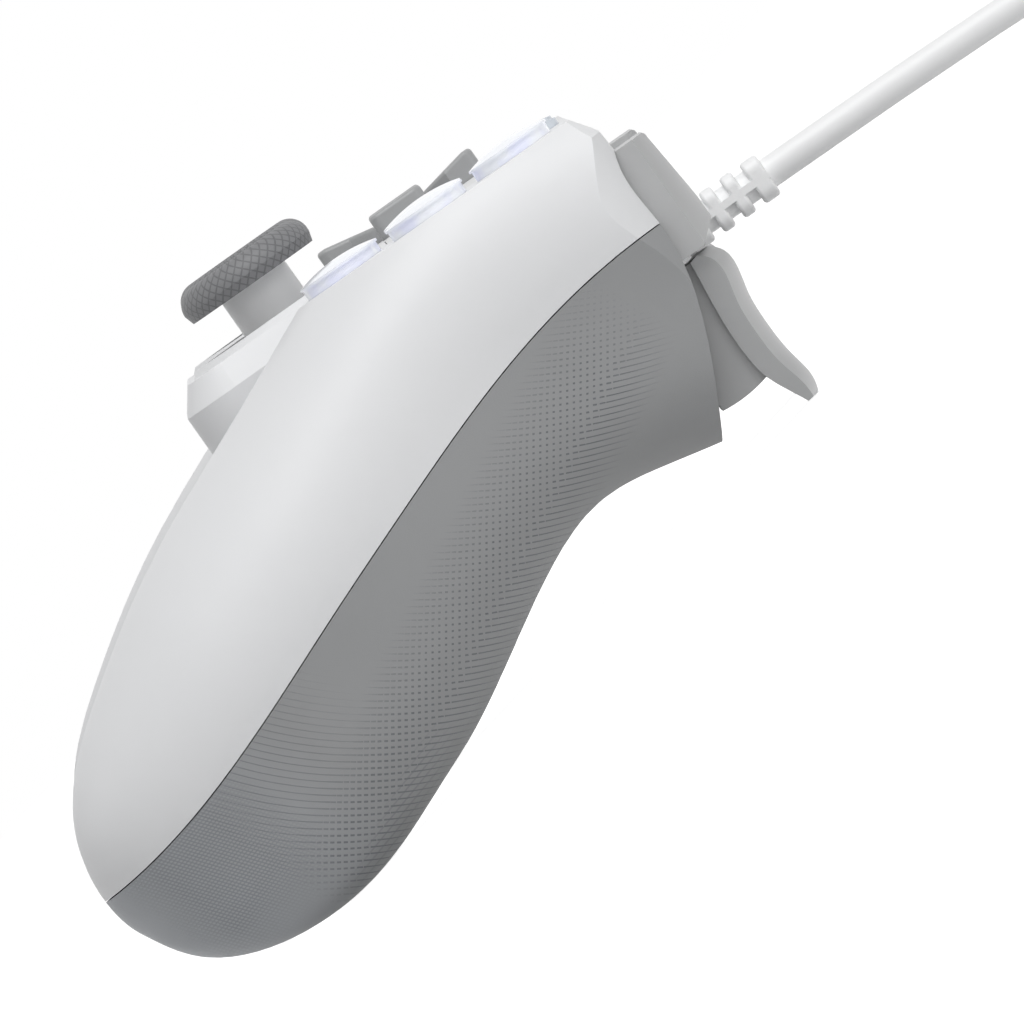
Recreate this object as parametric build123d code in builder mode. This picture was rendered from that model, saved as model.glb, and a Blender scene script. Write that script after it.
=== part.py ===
from build123d import *
import math
import os

# A wired gamepad with two equal grips, two thumb sticks, four direction keys and four face buttons.
# It is drawn in its deck frame: +X to the player's right, +Y away from the player and +Z up out of
# the deck, the flat top of the housing. The origin is on the deck, midway between the face buttons
# and the direction keys. At the end every piece is tipped to the way the pad lies on a table, on
# the bellies of its grips and the tips of its triggers. Sizes are in millimetres.

# Driving dimensions
half_width = 80.5
grip_reach = 78.6
grip_drop = 61.1
front_reach = 22.4
front_drop = 41.9
wall = 2.2
tilt = 12.24
overrun = 30
fit_gap = 0.15
pin_gap = 0.05
travel_gap = 0.1

# Housing
centre_half_width = 41
centre_rear = 37.6
centre_drop = 36
centre_corner = 7
deck_bevel_height = 3.3
deck_bevel_angle = 36
seam_front_drop = 16.4
centre_seam_half_width = 39
seam_gap = 0.15
front_side_x = 70.6
front_side_flare = 0.19
front_corner_radius = 8

# Ribs of the right grip, from the front to the tail: the top and the bottom point in side view, the
# inner and the outer edge, and how full the corners are, where 2 is an ellipse. Y is a share of
# grip_reach, Z of grip_drop and X of half_width.
grip_rib_shares = [
    (0.382, 0.115, 0.360, -0.735, 0.25, 0.848, 3.0),
    (0.153, 0.115, 0.178, -0.692, 0.27, 0.885, 3.0),
    (-0.102, 0.074, 0.000, -0.646, 0.32, 0.925, 2.8),
    (-0.305, -0.036, -0.115, -0.671, 0.40, 0.957, 2.6),
    (-0.488, -0.141, -0.255, -0.766, 0.47, 0.985, 2.45),
    (-0.670, -0.253, -0.416, -0.879, 0.535, 1.000, 2.45),
    (-0.819, -0.376, -0.573, -0.961, 0.578, 0.994, 2.45),
    (-0.916, -0.475, -0.713, -0.998, 0.615, 0.969, 2.45),
    (-0.978, -0.586, -0.846, -0.977, 0.665, 0.923, 2.45),
    (-0.9985, -0.700, -0.925, -0.922, 0.728, 0.866, 2.45),
]
grip_tail_shares = (0.799, -0.980, -0.820)

# Front of the housing in side view, from the top of its bevel down: shares of front_reach and front_drop
front_bevel_shares = [(0.897, 0.0), (0.991, -0.074)]
front_curve_shares = [(1.0, -0.143), (0.957, -0.25), (0.972, -0.40), (0.942, -0.549), (0.835, -0.723),
                      (0.638, -0.943)]
# Trigger blade in side view, from its pivot: shares of its depth and of trigger_length
trigger_front_shares = [(0.84, 0.014), (1.0, -0.065), (0.933, -0.32), (0.90, -0.50), (0.933, -0.73),
                        (0.989, -0.907), (0.933, -0.995)]
trigger_back_shares = [(0.742, -1.0), (0.63, -0.907), (0.46, -0.744), (0.41, -0.60), (0.427, -0.32),
                       (0.51, 0.0)]
# How much of the crown each of those points of the front has at the blade's side edges
trigger_crown_shares = [1, 1, 1, 1, 1, 0.8, 0.5]
# Seam between the shells in side view, from the tail: shares of grip_reach and grip_drop
seam_shares = [(-1.1, -0.725), (-0.809, -0.684), (-0.477, -0.527), (-0.28, -0.430), (-0.084, -0.342)]
# Underside of the centre in side view, from the rear wall: shares of centre_rear and centre_drop
underside_shares = [(-1.0, -0.52), (-0.90, -0.70), (-0.27, -0.86), (0.20, -0.98), (0.45, -1.0)]

# Controls on the deck
cluster_x = 48.5
button_radius = 5.3
button_spread = 12.3
button_height = 2.4
button_skirt = 1.3
button_rim_width = 0.25
button_rim_height = 0.3
button_travel = 0.8
keys_y = -2.4
key_reach = 11.35
key_width = 7.4
key_height = 3.25
key_inner_height = 1.95
key_tip = 3.4
key_corner = 1.2
key_edge = 0.5
pill_x = 27.8
pill_y = 15.4
pill_length = 7.4
pill_width = 3.2
pill_height = 1.5
pill_front_height = 0.9
home_y = -20
home_radius = 4.5
home_height = 0.5
touchpad_half_width = 23
touchpad_front = 17.2
touchpad_rear = -6
touchpad_corner = 2.5
touchpad_thickness = 1.2
flange_width = 0.7
flange_height = 1.2
control_foot = wall + travel_gap + flange_height

# Switch boards
switch_height = 1.5
switch_radius = 2.6
board_thickness = 1.6
control_board_drop = control_foot + button_travel + travel_gap + switch_height
control_board_reach = 15.5
control_board_front = 15.5
control_board_rear = 17
boss_radius = 2
boss_step = 11
main_board_half_width = 37
main_board_rear = 33
main_board_front = 2
standoff_radius = 2.2

# Thumb sticks
stick_x = 25
stick_y = -21.8
pivot_drop = 10.5
stick_click = 0.5
cap_radius = 9.07
cap_top_radius = 6.8
cap_foot_radius = 8.7
cap_base = 5.5
cap_height = 3.8
cap_dish = 0.7
neck_radius = 4.55
dome_radius = 10.8
dome_wall = 1.2
dome_rim = 1.5
ring_radius = 12.5
ring_height = 0.75
collar_radius = 11.2
collar_drop = 5
collar_gap = 0.2
yoke_half_length = 6
yoke_half_width = 4.7
yoke_wall = 1.7
yoke_half_height = 1.2
trunnion_radius = 1
trunnion_reach = 7.7
post_thickness = 1.6
post_half_width = 2
post_gap = 0.3
block_half_length = 2.6
block_half_height = 1.4
block_pin_radius = 0.8
block_gap = 0.2
shaft_radius = 1.5
shaft_reach = 7.3
core_radius = 3
core_base = 2.3
stick_base_half = 8
stick_base_drop = 4
stick_base_thickness = 3
main_board_drop = pivot_drop + stick_base_drop + stick_base_thickness

# Bumpers
bumper_inner = 36
bumper_outer = 63.6
bumper_top = 6.3
bumper_gap = 0.3
bumper_reach = 27.4
bumper_slope = 0.9
bumper_edge = 0.3
bumper_face_top = 16.3
bumper_face_bottom = 19.2
bumper_chin = 2.8
bumper_heel = 1.2
bumper_drop = 21.5
bumper_corner = 4
bumper_round = 11
bumper_round_depth = 2.6
bumper_tongue_rear = 15.5
bumper_tongue_top = 8
bumper_tongue_drop = 16
bumper_stop_front = 18.6
bumper_stop_thickness = 1.4
bumper_stop_top = 4.4
bumper_stop_margin = 3

# Triggers
trigger_inner = 40
trigger_outer = 62
trigger_reach = 26.4
trigger_length = 21.5
trigger_crown = 1.8
pivot_y = 17.5
pivot_z = -22.3
web_margin = 1
web_wall = 2
web_radius = 16.8
web_gap = 0.3
web_front = 5
hub_radius = 2.4
trigger_pin_radius = 1
bracket_thickness = 2
bracket_reach = 3.5

# Rumble motors
motor_y = -48
motor_z = -37
motor_radius = 9
motor_inner = 52
motor_length = 12
motor_shaft_radius = 1
weight_radius = 9.6
weight_gap = 2
weight_length = 6
cradle_rib = 2
cradle_inset = 2

# Case screws
screw_x = 56
screw_y = -30
front_screw_x = 28.5
front_screw_y = 5.8
screw_radius = 1.2
screw_head_radius = 2.4
screw_head_height = 1.8
screw_bite = 8
well_radius = 2.8
well_wall = 1.4
web_floor = 2
front_well_top = 24
rear_well_top = 33

# Strain relief
cord_radius = 2
cord_z = -19.7
rib_width = 5.75
rib_corner = 1.7
rib_pitch = 3
rib_count = 4
rib_edge = 0.45
rib_thickness = 1.7
end_rib_thickness = 2.3
relief_reach = 36.3
spine_height = 0.95
neck_width = 6.4
collar_width = 9
relief_collar_thickness = 2
relief_collar_front = 17.2
relief_neck_front = 23

# Headset jack
jack_z = -12
jack_bore_radius = 1.8
jack_bore_depth = 12
jack_nose_radius = 3
jack_half_width = 3.6
jack_length = 14

# Cord coil
coil_sides = 8

# Plug
plug_width = 15
plug_length = 22
plug_corner = 2.5
plug_edge = 1
plug_shell_width = 12
plug_shell_height = 4.5
plug_shell_length = 12
plug_shell_wall = 0.4
tongue_height = 1.8
tongue_offset = 0.2


def in_shares(shares, across, up):
    return [(x * across, y * up) for x, y in shares]


def grip_rib(shares, inset):
    top_y, top_z, bottom_y, bottom_z, inner_x, outer_x, fullness = shares
    top = Vector(0, top_y * grip_reach, top_z * grip_drop)
    bottom = Vector(0, bottom_y * grip_reach, bottom_z * grip_drop)
    middle = (top + bottom) * 0.5 + Vector((inner_x + outer_x) / 2 * half_width, 0, 0)
    rise = (top - bottom).normalized()
    across = (outer_x - inner_x) / 2 * half_width - inset
    tall = (top - bottom).length / 2 - inset
    corner = 2 ** (-1 / fullness)
    quarter = [(across, 0), (corner * across, corner * tall), (0, tall), (-corner * across, corner * tall)]
    with BuildSketch(Plane(origin=middle, x_dir=(1, 0, 0), z_dir=(0, -rise.Z, rise.Y))) as rib:
        with BuildLine():
            Spline(*quarter, *[(-x, -y) for x, y in quarter], periodic=True)
        make_face()
    return rib.sketch.face()


def housing(inset):
    """The housing's outer form, or the space inside it when the inset is the wall."""
    tail_x, tail_y, tail_z = grip_tail_shares
    with BuildPart() as grip:
        tail = Vertex(tail_x * half_width, tail_y * grip_reach + inset, tail_z * grip_drop)
        loft(sections=[*[grip_rib(shares, inset) for shares in grip_rib_shares], tail])
    half = centre_half_width - inset
    length = centre_rear + front_reach
    with BuildPart() as centre:
        with BuildSketch(Plane.XY.offset(-deck_bevel_height)) as plan:
            with Locations((0, (front_reach - centre_rear) / 2 + overrun / 2)):
                RectangleRounded(2 * half, length + overrun - 2 * inset, centre_corner)
        extrude(amount=-centre_drop)
        extrude(plan.sketch, amount=deck_bevel_height - inset, taper=deck_bevel_angle)
    with BuildPart() as underside:
        with BuildSketch(Plane.YZ.shift_origin((0, 0, inset))):
            points = in_shares(underside_shares, centre_rear, centre_drop)
            with BuildLine():
                curve = Spline(*points)
                Polyline(curve @ 1, (centre_rear + overrun, -centre_drop), (centre_rear + overrun, overrun),
                         (-centre_rear, overrun), curve @ 0)
            make_face()
        extrude(amount=half_width, both=True)
    with BuildPart() as envelope:
        with BuildSketch(Plane.YZ.shift_origin((0, -inset, -inset))):
            bevel = in_shares(front_bevel_shares, front_reach, front_drop)
            bevel[0] = (bevel[0][0] + inset / 2, bevel[0][1])
            points = in_shares(front_curve_shares, front_reach, front_drop)
            with BuildLine():
                curve = Spline(*points)
                Polyline(curve @ 1, (curve @ 1) + (curve % 1) * overrun,
                         (-grip_reach - overrun, -grip_drop - overrun), (-grip_reach - overrun, 0),
                         *bevel, curve @ 0)
            make_face()
        extrude(amount=half_width + overrun, both=True)
    with BuildPart() as corners:
        with BuildSketch(Plane.XY.offset(-deck_bevel_height)) as plan:
            rear = -grip_reach - overrun
            front_side = front_side_x - inset
            rear_side = front_side + front_side_flare * (front_reach - rear)
            with BuildLine():
                Polyline((-front_side, front_reach - inset), (-rear_side, rear), (rear_side, rear),
                         (front_side, front_reach - inset), close=True)
            make_face()
            fillet(plan.vertices().group_by(Axis.Y)[-1], radius=front_corner_radius - inset)
        extrude(amount=-grip_drop - overrun)
        extrude(plan.sketch, amount=deck_bevel_height - inset, taper=deck_bevel_angle)
    with BuildPart() as form:
        add(centre.part)
        add(underside.part, mode=Mode.INTERSECT)
        add(grip.part)
        mirror(grip.part, about=Plane.YZ)
        add(envelope.part, mode=Mode.INTERSECT)
        add(corners.part, mode=Mode.INTERSECT)
    return form.part


outer_form = housing(0)
inner_form = housing(wall)

with BuildPart() as lower_zone:
    with BuildSketch(Plane.YZ):
        with BuildLine():
            points = in_shares(seam_shares, grip_reach, grip_drop)
            curve = Spline(*points, (front_reach, -seam_front_drop))
            Polyline(curve @ 1, (front_reach + overrun, -seam_front_drop),
                     (front_reach + overrun, -grip_drop - overrun),
                     (-grip_reach - overrun, -grip_drop - overrun), (-grip_reach - overrun, (curve @ 0).Y),
                     curve @ 0)
        make_face()
    extrude(amount=half_width + overrun, both=True)
    with BuildSketch(Plane.XY.offset(-seam_front_drop)):
        with Locations((0, -centre_rear / 2)):
            Rectangle(2 * centre_seam_half_width, centre_rear + overrun)
    extrude(amount=-grip_drop)


def key_plan(margin):
    """One direction key from above, pointing to +Y, grown by a margin."""
    half = key_width / 2
    with BuildSketch() as plan:
        with BuildLine():
            Polyline((0, key_tip), (half, key_tip + half), (half, key_reach), (-half, key_reach),
                     (-half, key_tip + half), close=True)
        make_face()
        if margin:
            offset(amount=margin, kind=Kind.INTERSECTION)
    return plan.sketch


def twin(piece):
    """The same piece on the other side of the pad."""
    with BuildPart() as copy:
        mirror(piece.part, about=Plane.YZ)
    return copy


button_places = [(0, button_spread), (button_spread, 0), (0, -button_spread), (-button_spread, 0)]
boss_places = [(boss_step, boss_step), (-boss_step, boss_step), (boss_step, -boss_step)]
screw_places = [(screw_x, screw_y, rear_well_top), (front_screw_x, front_screw_y, front_well_top)]
standoff_places = [(main_board_half_width - standoff_radius, -main_board_rear + standoff_radius),
                   (main_board_half_width - standoff_radius, main_board_front - standoff_radius)]
bumper_window_bottom = bumper_drop + bumper_gap
trigger_web_inner = trigger_inner + web_margin
trigger_web_outer = trigger_outer - web_margin

# Windows in the front for the bumper and the trigger's web, and the bracket for its pin
with BuildPart() as front_window:
    with BuildSketch(Plane.XZ.offset(-bumper_stop_front)):
        with BuildLine():
            Polyline((bumper_inner - bumper_gap, -bumper_top + bumper_gap),
                     (bumper_outer + bumper_gap, -bumper_top + bumper_gap),
                     (bumper_outer + bumper_gap, -bumper_window_bottom),
                     (bumper_inner - bumper_gap, -bumper_window_bottom), close=True)
        make_face()
    extrude(amount=-overrun)

with BuildPart() as web_window:
    with BuildSketch(Plane.YZ.offset(trigger_web_inner - web_gap)):
        with Locations((pivot_y, pivot_z)):
            Circle(web_radius + web_gap)
        with Locations((pivot_y - web_radius / 2, -bumper_window_bottom)):
            Rectangle(overrun, overrun, align=(Align.MIN, Align.MAX), mode=Mode.INTERSECT)
    extrude(amount=trigger_web_outer - trigger_web_inner + 2 * web_gap)

# The lower shell's posts, wells, cradles and brackets, before they are cut to the housing's form
with BuildPart() as lower_inside:
    with BuildSketch(Plane.XY.offset(-main_board_drop - board_thickness)):
        with Locations(*[(side * x, y) for side in (1, -1) for x, y in standoff_places]):
            Circle(standoff_radius)
    extrude(amount=-overrun)
    for x, y, top in screw_places:
        with BuildSketch(Plane.XY.offset(-top)):
            with Locations((x, y), (-x, y)):
                Circle(well_radius + well_wall)
        extrude(amount=-overrun)
    with BuildSketch(Plane.XY.offset(motor_z)):
        for side in (1, -1):
            for inset in (cradle_inset, motor_length - cradle_inset):
                with Locations((side * (motor_inner + inset), motor_y)):
                    Rectangle(cradle_rib, 2 * motor_radius)
    extrude(amount=-overrun)
    with BuildSketch(Plane.YZ):
        with Locations((motor_y, motor_z)):
            Circle(motor_radius)
    extrude(amount=motor_inner + motor_length, both=True, mode=Mode.SUBTRACT)
    bracket_faces = [trigger_web_inner - web_gap - bracket_thickness, trigger_web_outer + web_gap]
    for face in [*bracket_faces, *[-x - bracket_thickness for x in bracket_faces]]:
        with BuildSketch(Plane.YZ.offset(face)):
            with Locations((pivot_y, pivot_z)):
                Rectangle(2 * bracket_reach, overrun, align=(Align.CENTER, Align.MAX))
                Circle(bracket_reach)
        extrude(amount=bracket_thickness)
        with BuildSketch(Plane.YZ.offset(face)):
            with Locations((pivot_y, pivot_z)):
                Circle(trigger_pin_radius)
        extrude(amount=bracket_thickness, mode=Mode.SUBTRACT)
    add(outer_form, mode=Mode.INTERSECT)

# The upper shell's bosses, before they are cut to the housing's form
with BuildPart() as upper_inside:
    with BuildSketch(Plane.XY):
        for side in (1, -1):
            with Locations(*[(side * (cluster_x + x), y) for x, y in boss_places]):
                Circle(boss_radius)
    extrude(amount=-control_board_drop)
    for x, y, top in screw_places:
        with BuildSketch(Plane.XY):
            with Locations((x, y), (-x, y)):
                Circle(well_radius)
        extrude(amount=-top)
    add(outer_form, mode=Mode.INTERSECT)

with BuildPart() as upper_shell:
    add(outer_form)
    add(inner_form, mode=Mode.SUBTRACT)
    add(lower_zone.part.moved(Location((0, 0, seam_gap))), mode=Mode.SUBTRACT)
    add(upper_inside.part)
    for x, y, top in screw_places:
        with BuildSketch(Plane.XY.offset(-top)):
            with Locations((x, y), (-x, y)):
                Circle(screw_radius)
        extrude(amount=screw_bite, mode=Mode.SUBTRACT)
    with BuildSketch():
        with Locations(*[(cluster_x + x, y) for x, y in button_places]):
            Circle(button_radius + fit_gap)
        for turn in range(4):
            with Locations(Location((-cluster_x, keys_y, 0), turn * 90)):
                add(key_plan(fit_gap))
        with Locations((pill_x, pill_y), (-pill_x, pill_y)):
            SlotOverall(pill_length + 2 * fit_gap, pill_width + 2 * fit_gap, rotation=90)
        with Locations((0, home_y)):
            Circle(home_radius + fit_gap)
        with Locations((0, (touchpad_front + touchpad_rear) / 2)):
            RectangleRounded(2 * (touchpad_half_width + fit_gap),
                             touchpad_front - touchpad_rear + 2 * fit_gap, touchpad_corner + fit_gap)
        with Locations((stick_x, stick_y), (-stick_x, stick_y)):
            Circle(collar_radius)
    extrude(amount=-2 * wall, mode=Mode.SUBTRACT)
    with BuildSketch(Plane.XZ.offset(centre_rear)):
        with Locations((0, jack_z)):
            Circle(jack_nose_radius)
    extrude(amount=-2 * wall, mode=Mode.SUBTRACT)
    add(front_window.part, mode=Mode.SUBTRACT)
    mirror(front_window.part, about=Plane.YZ, mode=Mode.SUBTRACT)

with BuildPart() as lower_shell:
    add(outer_form)
    add(inner_form, mode=Mode.SUBTRACT)
    add(lower_inside.part)
    add(lower_zone.part, mode=Mode.INTERSECT)
    for x, y, top in screw_places:
        with BuildSketch(Plane.XY.offset(-top)):
            with Locations((x, y), (-x, y)):
                Circle(screw_radius)
        extrude(amount=-web_floor, mode=Mode.SUBTRACT)
        with BuildSketch(Plane.XY.offset(-top - web_floor)):
            with Locations((x, y), (-x, y)):
                Circle(well_radius)
        extrude(amount=-overrun, mode=Mode.SUBTRACT)
    for window in (front_window, web_window):
        add(window.part, mode=Mode.SUBTRACT)
        mirror(window.part, about=Plane.YZ, mode=Mode.SUBTRACT)
    with BuildSketch(Plane.XZ.offset(-relief_collar_front)):
        with Locations((0, cord_z)):
            RectangleRounded(neck_width, neck_width, rib_corner)
    extrude(amount=-overrun, mode=Mode.SUBTRACT)

pieces = {"upper_shell": upper_shell, "lower_shell": lower_shell}

# Face buttons: a white core under the deck and a clear domed lens on it
button_names = ["north", "east", "south", "west"]
for name, (x, y) in zip(button_names, button_places):
    with BuildPart() as core:
        with BuildSketch(Plane.XY.offset(-control_foot)):
            with Locations((cluster_x + x, y)):
                Circle(button_radius + flange_width)
        extrude(amount=flange_height)
        with BuildSketch(Plane.XY.offset(-control_foot)):
            with Locations((cluster_x + x, y)):
                Circle(button_radius)
        extrude(amount=control_foot)
    pieces[f"button_{name}_core"] = core
    with BuildPart() as lens:
        with BuildSketch(Plane(origin=(cluster_x + x, y, 0), x_dir=(1, 0, 0), z_dir=(0, -1, 0))):
            rim = button_radius + button_rim_width
            rim_top = button_skirt + button_rim_height
            with BuildLine():
                dome = TangentArc((0, button_height), (rim, rim_top), tangent=(1, 0))
                Polyline((rim, rim_top), (rim, button_skirt), (button_radius, button_skirt),
                         (button_radius, 0), (0, 0), (0, button_height))
            make_face()
        revolve(axis=Axis((cluster_x + x, y, 0), (0, 0, 1)))
    pieces[f"button_{name}_lens"] = lens

# Direction keys: four wedges that rise outwards
for turn, name in enumerate(["up", "left", "down", "right"]):
    with BuildPart() as key:
        with BuildSketch(Plane.XY.offset(-control_foot)):
            add(key_plan(0))
        extrude(amount=control_foot + key_height)
        fillet(key.edges().filter_by(Axis.Z).group_by(Axis.Y)[-1], radius=key_corner)
        with BuildSketch(Plane.YZ.offset(-key_width)):
            with BuildLine():
                Polyline((0, -control_foot), (key_reach, -control_foot), (key_reach, key_height),
                         (key_reach - key_corner, key_height), (key_tip, key_inner_height),
                         (0, key_inner_height), close=True)
            make_face()
        extrude(amount=2 * key_width, mode=Mode.INTERSECT)
        top_edges = key.faces().sort_by(Axis.Z)[-2:].edges()
        fillet(top_edges.filter_by(lambda edge: edge.center().Z > 0), radius=key_edge)
        with BuildSketch(Plane.XY.offset(-control_foot)):
            add(key_plan(flange_width))
        extrude(amount=flange_height)
    with BuildPart() as placed:
        with Locations(Location((-cluster_x, keys_y, 0), turn * 90)):
            add(key.part)
    pieces[f"key_{name}"] = placed

# Pills on either side of the touchpad
with BuildPart() as options_pill:
    with BuildSketch(Plane.XY.offset(-control_foot)):
        with Locations((pill_x, pill_y)):
            SlotOverall(pill_length, pill_width, rotation=90)
    extrude(amount=control_foot + pill_height)
    with BuildSketch(Plane.YZ.offset(pill_x - pill_width)):
        with BuildLine():
            front = pill_y + pill_length / 2
            Polyline((pill_y - pill_length / 2, -control_foot), (front, -control_foot),
                     (front, pill_front_height), (pill_y, pill_height),
                     (pill_y - pill_length / 2, pill_height), close=True)
        make_face()
    extrude(amount=2 * pill_width, mode=Mode.INTERSECT)
    with BuildSketch(Plane.XY.offset(-control_foot)):
        with Locations((pill_x, pill_y)):
            SlotOverall(pill_length - flange_width, pill_width + 2 * flange_width, rotation=90)
    extrude(amount=flange_height)
pieces["options_pill"] = options_pill
pieces["share_pill"] = twin(options_pill)

with BuildPart() as home_button:
    with BuildSketch(Plane.XY.offset(-control_foot)):
        with Locations((0, home_y)):
            Circle(home_radius)
    extrude(amount=control_foot + home_height)
    fillet(home_button.edges().sort_by(Axis.Z)[-1], radius=home_height / 2)
    with BuildSketch(Plane.XY.offset(-control_foot)):
        with Locations((0, home_y)):
            Circle(home_radius + flange_width)
    extrude(amount=flange_height)
pieces["home_button"] = home_button

with BuildPart() as touchpad:
    with BuildSketch(Plane.XY.offset(-control_foot)):
        with Locations((0, (touchpad_front + touchpad_rear) / 2)):
            RectangleRounded(2 * touchpad_half_width, touchpad_front - touchpad_rear, touchpad_corner)
    extrude(amount=control_foot)
    with BuildSketch(Plane.XY.offset(-control_foot)):
        with Locations((0, (touchpad_front + touchpad_rear) / 2)):
            RectangleRounded(2 * (touchpad_half_width + flange_width),
                             touchpad_front - touchpad_rear + 2 * flange_width, touchpad_corner)
    extrude(amount=flange_height)
    with BuildSketch(Plane.XY.offset(-control_foot)):
        with Locations((0, (touchpad_front + touchpad_rear) / 2)):
            Rectangle(2 * (touchpad_half_width - wall), touchpad_front - touchpad_rear - 2 * wall)
    extrude(amount=control_foot - touchpad_thickness, mode=Mode.SUBTRACT)
pieces["touchpad"] = touchpad

# Switch boards under the face buttons and the direction keys, with a rubber dome under each control
with BuildPart() as button_board:
    with BuildSketch(Plane.XY.offset(-control_board_drop)):
        with Locations((cluster_x, (control_board_front - control_board_rear) / 2)):
            Rectangle(2 * control_board_reach, control_board_front + control_board_rear)
        with Locations((stick_x, stick_y)):
            Circle(dome_radius + control_board_rear / 2, mode=Mode.SUBTRACT)
    extrude(amount=-board_thickness)
pieces["button_board"] = button_board
pieces["key_board"] = twin(button_board)

with BuildPart() as button_domes:
    with BuildSketch(Plane.XY.offset(-control_board_drop)):
        with Locations(*[(cluster_x + x, y) for x, y in button_places]):
            Circle(switch_radius)
    extrude(amount=switch_height)
pieces["button_domes"] = button_domes

with BuildPart() as key_domes:
    with BuildSketch(Plane.XY.offset(-control_board_drop)):
        with Locations(Location((-cluster_x, keys_y, 0))):
            with PolarLocations((key_tip + key_reach) / 2, 4):
                Circle(switch_radius)
    extrude(amount=switch_height)
pieces["key_domes"] = key_domes

# Thumb sticks: a yoke that rocks in the base's posts, a block that rocks in the yoke, and a stem that
# slides on the block's shaft. Heights are measured from the pivot, where both axes cross.
stick_plane = Plane(origin=(stick_x, stick_y, -pivot_drop), x_dir=(1, 0, 0), z_dir=(0, 0, 1))
stick_axis = Axis((stick_x, stick_y, 0), (0, 0, 1))
side_plane = Plane(origin=(stick_x, stick_y, -pivot_drop), x_dir=(1, 0, 0), z_dir=(0, -1, 0))
post_inner = yoke_half_length + post_gap
block_half_width = yoke_half_width - yoke_wall - block_gap

with BuildPart() as stick_ring:
    with BuildSketch(Plane(origin=(stick_x, stick_y, 0), x_dir=(1, 0, 0), z_dir=(0, -1, 0))):
        bore = math.sqrt(dome_radius**2 - (pivot_drop - collar_drop)**2) + collar_gap
        with BuildLine():
            Polyline((bore, -collar_drop), (collar_radius, -collar_drop), (collar_radius, 0),
                     (ring_radius, 0), (ring_radius - ring_height, ring_height),
                     (bore + ring_height, ring_height), (bore, 0), close=True)
        make_face()
    revolve(axis=stick_axis)

with BuildPart() as stick_base:
    with BuildSketch(stick_plane.offset(-stick_base_drop)):
        RectangleRounded(2 * stick_base_half, 2 * stick_base_half, post_half_width)
    extrude(amount=-stick_base_thickness)
    for side in (1, -1):
        with BuildSketch(Plane(origin=(stick_x + side * post_inner, stick_y, -pivot_drop), x_dir=(0, 1, 0),
                               z_dir=(side, 0, 0))):
            with BuildLine():
                Line((-post_half_width, 0), (-post_half_width, -side * stick_base_drop))
                Line((-post_half_width, -side * stick_base_drop), (post_half_width, -side * stick_base_drop))
                Line((post_half_width, -side * stick_base_drop), (post_half_width, 0))
                ThreePointArc((post_half_width, 0), (0, side * post_half_width), (-post_half_width, 0))
            make_face()
            Circle(trunnion_radius + pin_gap, mode=Mode.SUBTRACT)
        extrude(amount=post_thickness)

with BuildPart() as stick_yoke:
    with BuildSketch(stick_plane.offset(-yoke_half_height)):
        RectangleRounded(2 * yoke_half_length, 2 * yoke_half_width, yoke_wall)
        Rectangle(2 * (yoke_half_length - yoke_wall), 2 * (yoke_half_width - yoke_wall), mode=Mode.SUBTRACT)
    extrude(amount=2 * yoke_half_height)
    for side in (1, -1):
        root = stick_x + side * (yoke_half_length - yoke_wall / 2)
        with BuildSketch(Plane(origin=(root, stick_y, -pivot_drop), x_dir=(0, 1, 0), z_dir=(side, 0, 0))):
            Circle(trunnion_radius)
        extrude(amount=trunnion_reach - yoke_half_length + yoke_wall / 2)
    with BuildSketch(side_plane):
        Circle(block_pin_radius + pin_gap)
    extrude(amount=yoke_half_width, both=True, mode=Mode.SUBTRACT)

with BuildPart() as stick_block:
    with BuildSketch(side_plane):
        RectangleRounded(2 * block_half_length, 2 * block_half_height, block_half_height / 2)
    extrude(amount=block_half_width, both=True)
    with BuildSketch(side_plane):
        Circle(block_pin_radius)
    extrude(amount=yoke_half_width, both=True)
    with BuildSketch(stick_plane):
        Circle(shaft_radius)
    extrude(amount=shaft_reach)

with BuildPart() as stick_stem:
    with BuildSketch(stick_plane.offset(dome_rim)):
        Circle(dome_radius)
    extrude(amount=dome_radius - dome_rim)
    with BuildSketch(side_plane):
        with BuildLine():
            Line((0, -dome_radius), (0, dome_radius))
            ThreePointArc((0, dome_radius), (dome_radius, 0), (0, -dome_radius))
        make_face()
    revolve(axis=stick_axis, mode=Mode.INTERSECT)
    with BuildSketch(side_plane):
        inner = dome_radius - dome_wall
        with BuildLine():
            Line((0, -inner), (0, inner))
            ThreePointArc((0, inner), (inner, 0), (0, -inner))
        make_face()
    revolve(axis=stick_axis, mode=Mode.SUBTRACT)
    with BuildSketch(stick_plane.offset(core_base)):
        Circle(core_radius)
    extrude(amount=dome_radius - core_base)
    with BuildSketch(stick_plane.offset(dome_radius - dome_wall)):
        Circle(neck_radius)
    extrude(amount=pivot_drop + cap_base - dome_radius + dome_wall)
    with BuildSketch(stick_plane):
        Circle(shaft_radius + pin_gap)
    extrude(amount=shaft_reach + stick_click + travel_gap, mode=Mode.SUBTRACT)

with BuildPart() as stick_cap:
    with BuildSketch(Plane(origin=(stick_x, stick_y, cap_base), x_dir=(1, 0, 0), z_dir=(0, -1, 0))):
        with BuildLine():
            Line((0, 0), (cap_foot_radius, 0))
            Line((cap_foot_radius, 0), (cap_radius, cap_height / 3))
            ThreePointArc((cap_radius, cap_height / 3), (cap_radius - cap_dish, cap_height * 0.8),
                          (cap_top_radius, cap_height))
            Polyline((cap_top_radius, cap_height), (cap_top_radius - 2 * cap_dish, cap_height - cap_dish),
                     (0, cap_height - cap_dish), (0, 0))
        make_face()
    revolve(axis=stick_axis)

for name, piece in [("ring", stick_ring), ("base", stick_base), ("yoke", stick_yoke), ("block", stick_block),
                    ("stem", stick_stem), ("cap", stick_cap)]:
    pieces[f"stick_{name}_right"] = piece
    pieces[f"stick_{name}_left"] = twin(piece)

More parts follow.
